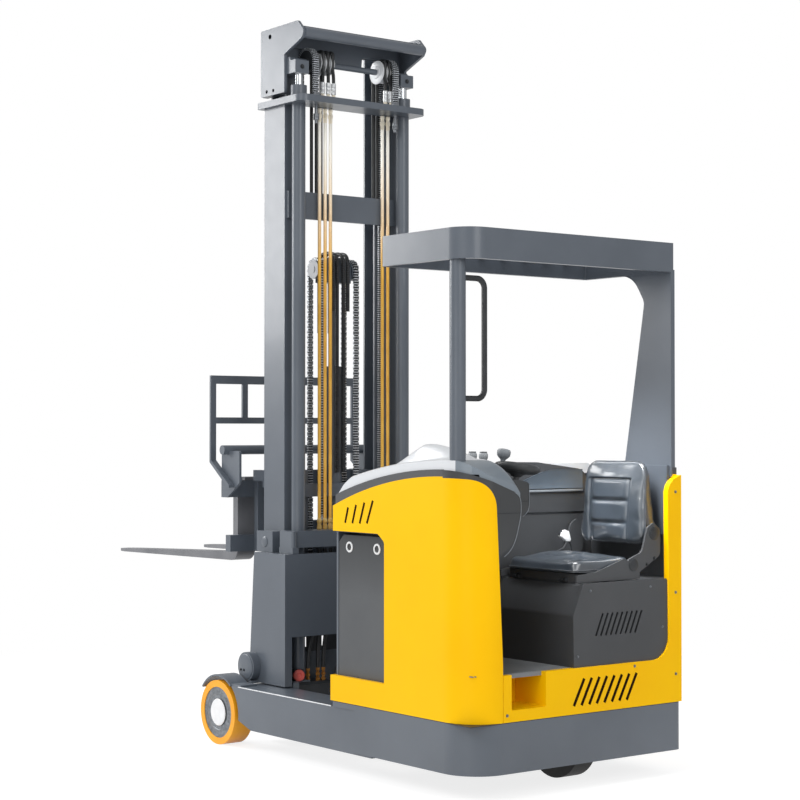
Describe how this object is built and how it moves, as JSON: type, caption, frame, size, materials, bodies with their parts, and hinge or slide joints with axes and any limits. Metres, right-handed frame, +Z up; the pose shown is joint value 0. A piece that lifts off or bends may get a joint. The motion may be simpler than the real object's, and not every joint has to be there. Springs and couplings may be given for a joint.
{
  "type": "electric reach truck",
  "caption": "Sit-on electric warehouse truck with a telescoping mast that slides forward along low wheeled legs, tilting forks, a side-facing seat and an overhead guard.",
  "frame": {"origin": "on the floor under the middle of the truck's length and width", "axes": "+X toward the fork tips, +Y to the driver's front (the truck's left), +Z up"},
  "size_m": [3.25, 1.15, 3.302],
  "materials": {
    "frame_grey": "satin slate-grey paint",
    "body_yellow": "gloss yellow paint",
    "battery_case": "satin dark grey paint",
    "fork_steel": "satin dark grey paint",
    "floor_mat": "ribbed grey rubber",
    "trim_dark": "grained dark grey moulding",
    "hood_white": "smooth off-white moulding",
    "seat_vinyl": "black vinyl with sewn channels",
    "load_tread": "orange cast polyurethane",
    "drive_tread": "black solid rubber",
    "hub_grey": "painted cast iron",
    "pipe_gold": "yellow passivated steel pipe",
    "sheave_pale": "pale nylon",
    "chain_steel": "oiled leaf chain",
    "rod_chrome": "hard chrome"
  },
  "bodies": {
    "chassis": {"chassis_frame": "frame_grey", "reach_leg_left": "frame_grey", "reach_leg_right": "frame_grey", "load_wheel_guards": "frame_grey", "side_panel_left": "body_yellow", "side_panel_right": "body_yellow", "battery_sill": "body_yellow", "battery": "battery_case", "rear_panel": "body_yellow", "floor_mat": "floor_mat", "seat_box": "trim_dark", "seat_pan": "trim_dark", "seat_cushion": "seat_vinyl", "seat_backrest": "seat_vinyl", "trim_band": "trim_dark", "overhead_guard": "frame_grey", "hood": "hood_white", "front_wall": "trim_dark", "console": "trim_dark", "steering_column": "trim_dark", "control_levers": "trim_dark", "grab_handle": "frame_grey"},
    "drive_unit": {"drive_unit": "frame_grey"},
    "drive_wheel": {"drive_wheel_tyre": "drive_tread", "drive_wheel_hub": "hub_grey"},
    "steering_wheel": {"steering_wheel": "trim_dark"},
    "load_wheel_left": {"load_tyre_left": "load_tread", "load_hub_left": "hub_grey"},
    "load_wheel_right": {"load_tyre_right": "load_tread", "load_hub_right": "hub_grey"},
    "reach_carriage": {"reach_carriage": "frame_grey", "carriage_rollers": "hub_grey", "outer_mast": "frame_grey", "lift_barrels": "frame_grey", "mast_pipes": "pipe_gold"},
    "middle_mast": {"middle_mast": "frame_grey", "mast_head": "frame_grey", "head_sheaves": "sheave_pale", "lift_chains": "chain_steel", "lift_rods": "rod_chrome"},
    "inner_mast": {"inner_mast": "frame_grey", "free_lift_barrel": "frame_grey"},
    "crosshead": {"lift_crosshead": "frame_grey", "crosshead_chains": "chain_steel"},
    "fork_carriage": {"fork_carriage": "frame_grey"},
    "fork_frame": {"tilt_frame": "frame_grey", "fork_left": "fork_steel", "fork_right": "fork_steel", "load_backrest": "frame_grey"}
  },
  "joints": [
    {"name": "load_wheel_left_spin", "type": "hinge", "parent": "chassis", "child": "load_wheel_left", "pos_m": [0.189, 0.525, 0.146], "axis": [0, 1, 0], "continuous": true},
    {"name": "load_wheel_right_spin", "type": "hinge", "parent": "chassis", "child": "load_wheel_right", "pos_m": [0.189, -0.525, 0.146], "axis": [0, 1, 0], "continuous": true},
    {"name": "drive_unit_steer", "type": "hinge", "parent": "chassis", "child": "drive_unit", "pos_m": [-1.361, -0.138, 0.35], "axis": [0, 0, 1], "range_deg": [-90, 90]},
    {"name": "drive_wheel_spin", "type": "hinge", "parent": "drive_unit", "child": "drive_wheel", "pos_m": [-1.361, -0.138, 0.16], "axis": [0, 1, 0], "continuous": true},
    {"name": "steering_wheel_turn", "type": "hinge", "parent": "chassis", "child": "steering_wheel", "pos_m": [-1.41, 0.15, 1.283], "axis": [0, -0.165, 0.9863], "continuous": true},
    {"name": "mast_reach", "type": "slide", "parent": "chassis", "child": "reach_carriage", "axis": [1, 0, 0], "range_m": [-0.56, 0]},
    {"name": "mast_raise", "type": "slide", "parent": "reach_carriage", "child": "middle_mast", "axis": [0, 0, 1], "range_m": [0, 2]},
    {"name": "inner_mast_raise", "type": "slide", "parent": "middle_mast", "child": "inner_mast", "axis": [0, 0, 1], "range_m": [0, 2]},
    {"name": "fork_raise", "type": "slide", "parent": "inner_mast", "child": "fork_carriage", "axis": [0, 0, 1], "range_m": [-0.764, 1.4]},
    {"name": "crosshead_raise", "type": "slide", "parent": "inner_mast", "child": "crosshead", "axis": [0, 0, 1], "range_m": [-0.382, 0.7]},
    {"name": "fork_tilt", "type": "hinge", "parent": "fork_carriage", "child": "fork_frame", "pos_m": [0.305, 0, 0.905], "axis": [0, -1, 0], "range_deg": [0, 6]}
  ],
  "couplings": [
    {"joint": "inner_mast_raise", "follows": "mast_raise", "ratio": 1},
    {"joint": "crosshead_raise", "follows": "fork_raise", "ratio": 0.5}
  ]
}
